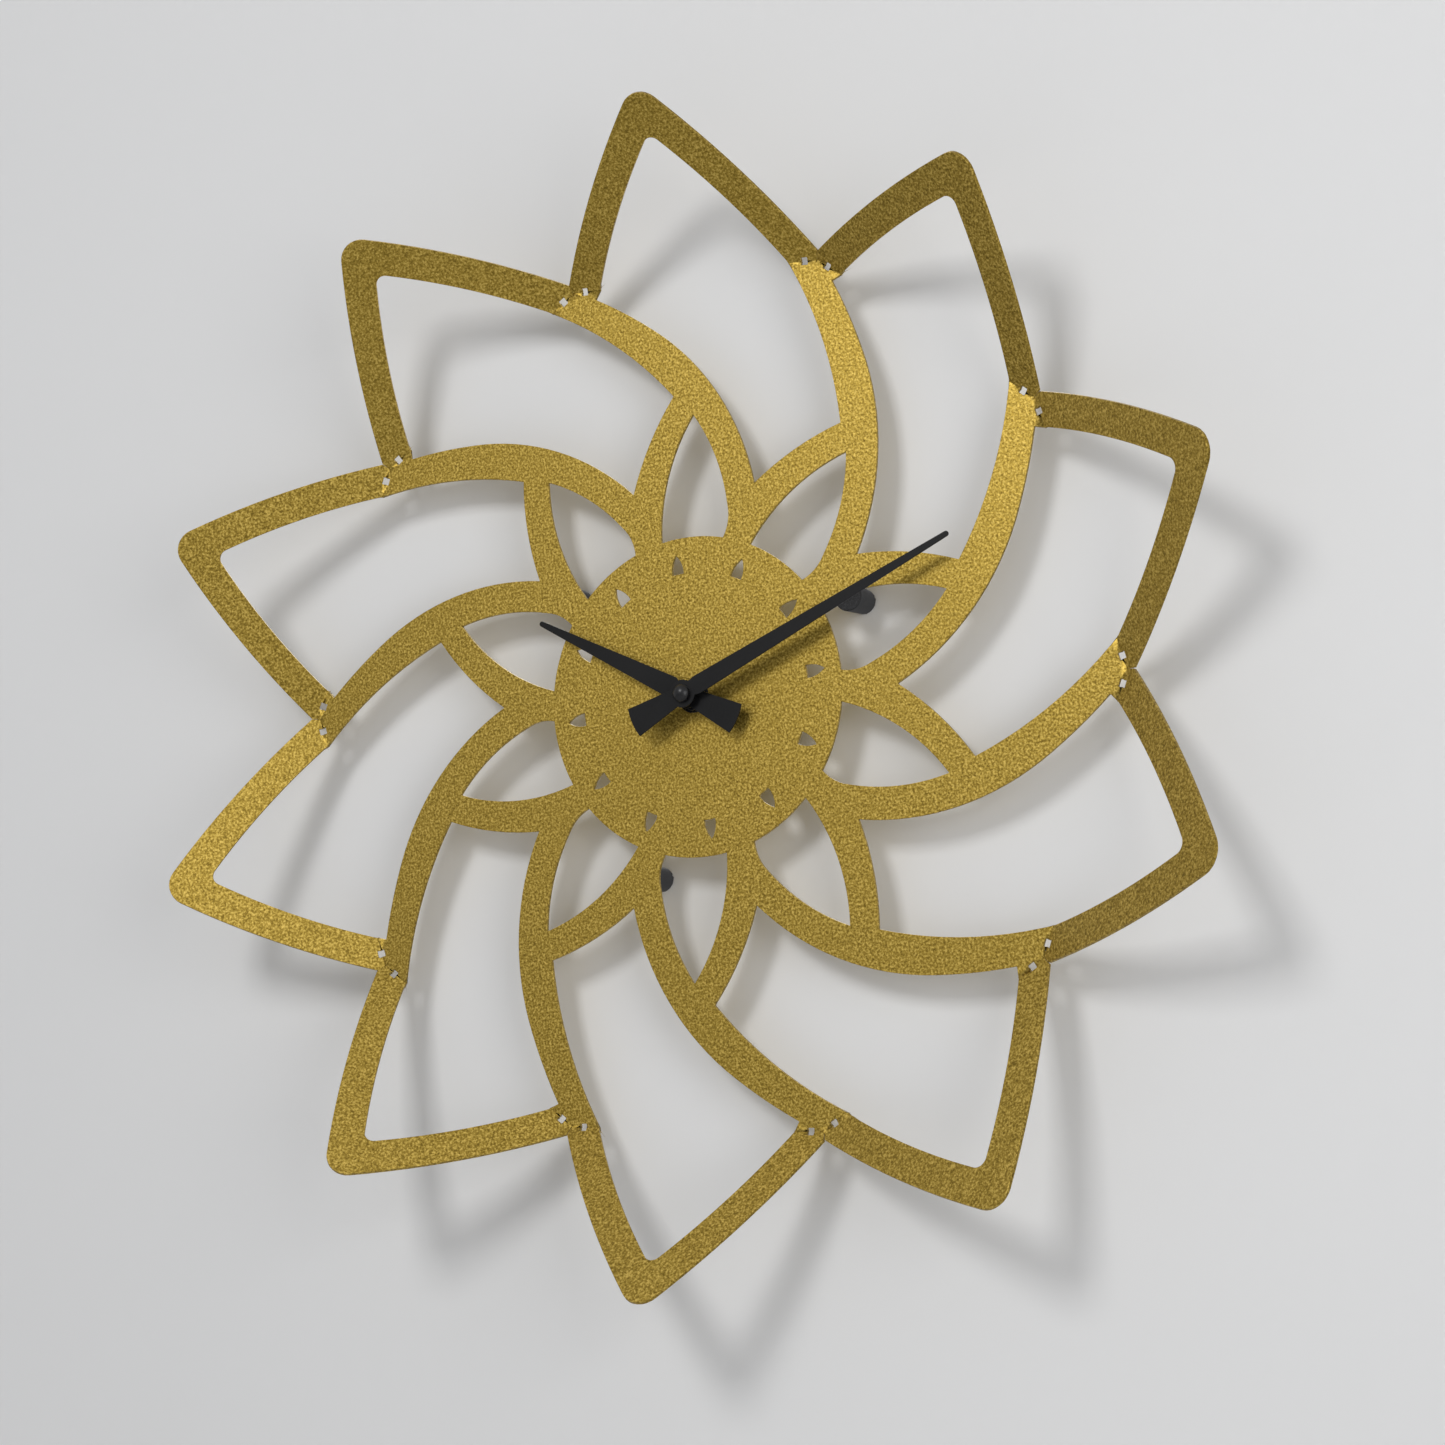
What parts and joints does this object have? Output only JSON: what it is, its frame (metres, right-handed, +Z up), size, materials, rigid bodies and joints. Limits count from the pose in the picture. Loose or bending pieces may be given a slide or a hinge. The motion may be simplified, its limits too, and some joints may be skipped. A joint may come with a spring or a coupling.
{
  "type": "sunburst wall clock",
  "caption": "Round wall clock: a folded gold sheet rosette of pointed petals and curved arms round a plain disc, two black hands with flared tails, quartz movement behind.",
  "frame": {"origin": "on the hand axis, in the plane of the wall behind the clock", "axes": "+Y into the wall, +Z up towards twelve o'clock, +X to the right as seen from the front"},
  "size_m": [0.4706, 0.0698, 0.466],
  "materials": {
    "gold_coat": "fine-textured gold powder coat on steel sheet",
    "hand_black": "satin black paint on aluminium sheet",
    "nut_black": "satin black coated brass",
    "steel": "plain steel",
    "brass": "sprung brass",
    "case_black": "moulded black ABS, fine spark texture",
    "pom_white": "moulded white POM",
    "rubber_black": "soft black rubber",
    "pad_black": "black foam adhesive",
    "magnet": "sintered magnet",
    "copper": "enamelled copper wire, close wound",
    "board_green": "green solder mask",
    "resin_black": "black resin",
    "crystal_can": "plated can",
    "battery_wrap": "plain printed film on steel"
  },
  "bodies": {
    "frame": {"face_plate": "gold_coat", "mounting_nut": "nut_black", "dial_washer": "nut_black", "rubber_washer": "rubber_black", "hanger": "steel", "wall_bumpers": "rubber_black", "bumper_pads": "pad_black", "case_front": "case_black", "middle_plate": "pom_white", "back_cover": "case_black", "stator": "steel", "coil_core": "steel", "coil_bobbin": "pom_white", "coil_winding": "copper", "motor_screws": "steel", "circuit_board": "board_green", "chip_cover": "resin_black", "quartz_crystal": "crystal_can", "battery": "battery_wrap", "positive_contact": "brass", "negative_contact": "brass"},
    "minutes": {"minute_hand": "hand_black", "minute_collet": "steel", "cap_nut": "nut_black", "minute_pipe": "pom_white", "clutch_spring": "brass"},
    "hours": {"hour_hand": "hand_black", "hour_collet": "steel", "hour_wheel": "pom_white"},
    "motion": {"motion_wheel": "pom_white"},
    "centre": {"centre_wheel": "pom_white"},
    "knob": {"setting_knob": "pom_white"},
    "third": {"third_wheel": "pom_white"},
    "seconds": {"seconds_wheel": "pom_white"},
    "fifth": {"fifth_wheel": "pom_white"},
    "rotor": {"rotor": "pom_white", "rotor_magnet": "magnet"}
  },
  "joints": [
    {"name": "minute_turn", "type": "hinge", "parent": "frame", "child": "minutes", "pos_m": [0, 0, 0], "axis": [0, 1, 0], "continuous": true},
    {"name": "hour_turn", "type": "hinge", "parent": "frame", "child": "hours", "pos_m": [0, 0, 0], "axis": [0, 1, 0], "continuous": true},
    {"name": "motion_turn", "type": "hinge", "parent": "frame", "child": "motion", "pos_m": [0.00985, 0, 0.00174], "axis": [0, 1, 0], "continuous": true},
    {"name": "knob_turn", "type": "hinge", "parent": "frame", "child": "knob", "pos_m": [0.01851, 0, 0.00674], "axis": [0, 1, 0], "continuous": true},
    {"name": "seconds_turn", "type": "hinge", "parent": "frame", "child": "seconds", "pos_m": [0, 0, 0], "axis": [0, 1, 0], "continuous": true},
    {"name": "centre_turn", "type": "hinge", "parent": "frame", "child": "centre", "pos_m": [0, 0, 0], "axis": [0, 1, 0], "continuous": true},
    {"name": "third_turn", "type": "hinge", "parent": "frame", "child": "third", "pos_m": [0.00799, 0, 0.00291], "axis": [0, 1, 0], "continuous": true},
    {"name": "fifth_turn", "type": "hinge", "parent": "frame", "child": "fifth", "pos_m": [-0.00846, 0, 0.00308], "axis": [0, 1, 0], "continuous": true},
    {"name": "rotor_turn", "type": "hinge", "parent": "frame", "child": "rotor", "pos_m": [-0.01452, 0, 0.00658], "axis": [0, 1, 0], "continuous": true}
  ],
  "couplings": [
    {"joint": "hour_turn", "follows": "minute_turn", "ratio": 0.083333},
    {"joint": "motion_turn", "follows": "minute_turn", "ratio": -0.33333},
    {"joint": "knob_turn", "follows": "minute_turn", "ratio": 1},
    {"joint": "centre_turn", "follows": "seconds_turn", "ratio": 0.016667},
    {"joint": "third_turn", "follows": "seconds_turn", "ratio": -0.13333},
    {"joint": "fifth_turn", "follows": "seconds_turn", "ratio": -5},
    {"joint": "rotor_turn", "follows": "seconds_turn", "ratio": 30}
  ]
}
